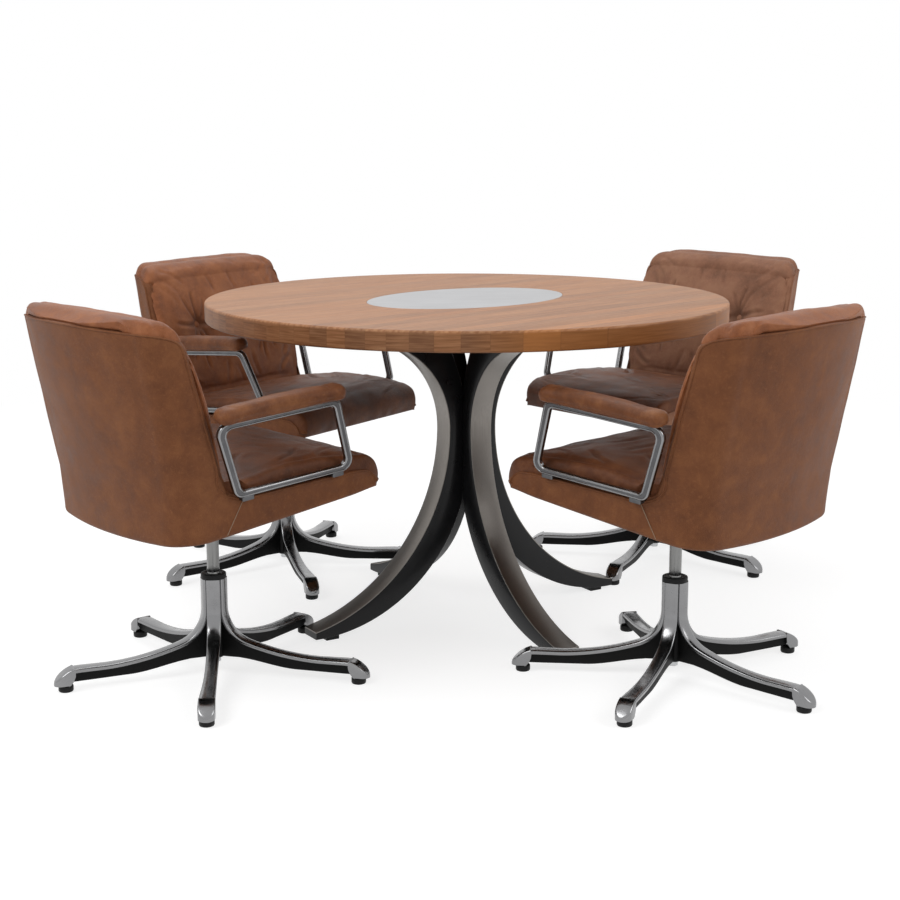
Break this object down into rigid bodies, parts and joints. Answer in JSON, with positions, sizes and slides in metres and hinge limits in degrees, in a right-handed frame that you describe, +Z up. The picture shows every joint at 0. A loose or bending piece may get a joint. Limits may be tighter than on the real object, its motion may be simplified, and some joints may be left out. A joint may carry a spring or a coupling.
{
  "type": "round dining table with swivel armchairs",
  "caption": "Round wooden table with a steel inset on bow-shaped legs, with free-standing leather swivel armchairs on star bases around it.",
  "frame": {"origin": "middle of the floor area that the set covers, on the floor", "axes": "+Z up; +X to the right and +Y to the rear, as seen from the side of the two front chairs"},
  "size_m": [1.7833, 1.699, 0.7993],
  "materials": {
    "oak_top": "oiled oak staves laid side by side, satin",
    "inset_steel": "fine straight brushing",
    "leg_black": "black lacquer, semi-gloss",
    "leg_facing_steel": "brushed along the bow",
    "glide_black": "matte",
    "cross_black": "matte black",
    "screw_steel": "zinc plated",
    "star_aluminium": "polished on its crowns, black in its hollows",
    "bush_black": "satin black",
    "spindle_steel": "satin",
    "shell_leather": "tan leather with a patina",
    "seat_leather": "tan leather with a patina, soft sheen",
    "back_leather": "tan leather with a patina, soft sheen",
    "arm_leather": "tan leather with a patina, soft sheen",
    "arm_aluminium": "polished",
    "lug_steel": "satin"
  },
  "bodies": {
    "table": {"table_top": "oak_top", "table_inset": "inset_steel", "table_leg_back_right": "leg_black", "table_leg_back_left": "leg_black", "table_leg_front_left": "leg_black", "table_leg_front_right": "leg_black", "table_leg_facings": "leg_facing_steel", "table_leg_core": "leg_black", "table_leg_glides": "glide_black", "table_top_cross": "cross_black", "table_top_screws": "screw_steel"},
    "front_left_base": {"front_left_star_base": "star_aluminium", "front_left_hub_bush": "bush_black", "front_left_foot_glides": "glide_black"},
    "front_left_seat": {"front_left_spindle": "spindle_steel", "front_left_spindle_nut": "screw_steel", "front_left_seat_plate": "cross_black", "front_left_seat_shell": "shell_leather", "front_left_seat_cushion": "seat_leather", "front_left_back_cushion": "back_leather", "front_left_arm_frames": "arm_aluminium", "front_left_arm_pads": "arm_leather", "front_left_arm_lugs": "lug_steel"},
    "front_right_base": {"front_right_star_base": "star_aluminium", "front_right_hub_bush": "bush_black", "front_right_foot_glides": "glide_black"},
    "front_right_seat": {"front_right_spindle": "spindle_steel", "front_right_spindle_nut": "screw_steel", "front_right_seat_plate": "cross_black", "front_right_seat_shell": "shell_leather", "front_right_seat_cushion": "seat_leather", "front_right_back_cushion": "back_leather", "front_right_arm_frames": "arm_aluminium", "front_right_arm_pads": "arm_leather", "front_right_arm_lugs": "lug_steel"},
    "back_left_base": {"back_left_star_base": "star_aluminium", "back_left_hub_bush": "bush_black", "back_left_foot_glides": "glide_black"},
    "back_left_seat": {"back_left_spindle": "spindle_steel", "back_left_spindle_nut": "screw_steel", "back_left_seat_plate": "cross_black", "back_left_seat_shell": "shell_leather", "back_left_seat_cushion": "seat_leather", "back_left_back_cushion": "back_leather", "back_left_arm_frames": "arm_aluminium", "back_left_arm_pads": "arm_leather", "back_left_arm_lugs": "lug_steel"},
    "back_right_base": {"back_right_star_base": "star_aluminium", "back_right_hub_bush": "bush_black", "back_right_foot_glides": "glide_black"},
    "back_right_seat": {"back_right_spindle": "spindle_steel", "back_right_spindle_nut": "screw_steel", "back_right_seat_plate": "cross_black", "back_right_seat_shell": "shell_leather", "back_right_seat_cushion": "seat_leather", "back_right_back_cushion": "back_leather", "back_right_arm_frames": "arm_aluminium", "back_right_arm_pads": "arm_leather", "back_right_arm_lugs": "lug_steel"}
  },
  "joints": [
    {"name": "front_left_pull_out", "type": "slide", "parent": "table", "child": "front_left_base", "axis": [-0.78, -0.6258, 0], "range_m": [0, 0.4]},
    {"name": "front_left_swivel", "type": "hinge", "parent": "front_left_base", "child": "front_left_seat", "pos_m": [-0.5274, -0.461, 0.2], "axis": [0, 0, 1], "range_deg": [-65, 60]},
    {"name": "front_right_pull_out", "type": "slide", "parent": "table", "child": "front_right_base", "axis": [0.687, -0.7267, 0], "range_m": [0, 0.4]},
    {"name": "front_right_swivel", "type": "hinge", "parent": "front_right_base", "child": "front_right_seat", "pos_m": [0.4462, -0.4881, 0.2], "axis": [0, 0, 1], "range_deg": [-55, 50]},
    {"name": "back_left_pull_out", "type": "slide", "parent": "table", "child": "back_left_base", "axis": [-0.7571, 0.6533, 0], "range_m": [0, 0.4]},
    {"name": "back_left_swivel", "type": "hinge", "parent": "back_left_base", "child": "back_left_seat", "pos_m": [-0.4634, 0.3815, 0.2], "axis": [0, 0, 1], "range_deg": [-60, 45]},
    {"name": "back_right_pull_out", "type": "slide", "parent": "table", "child": "back_right_base", "axis": [0.7038, 0.7104, 0], "range_m": [0, 0.4]},
    {"name": "back_right_swivel", "type": "hinge", "parent": "back_right_base", "child": "back_right_seat", "pos_m": [0.527, 0.4916, 0.2], "axis": [0, 0, 1], "range_deg": [-65, 75]}
  ]
}
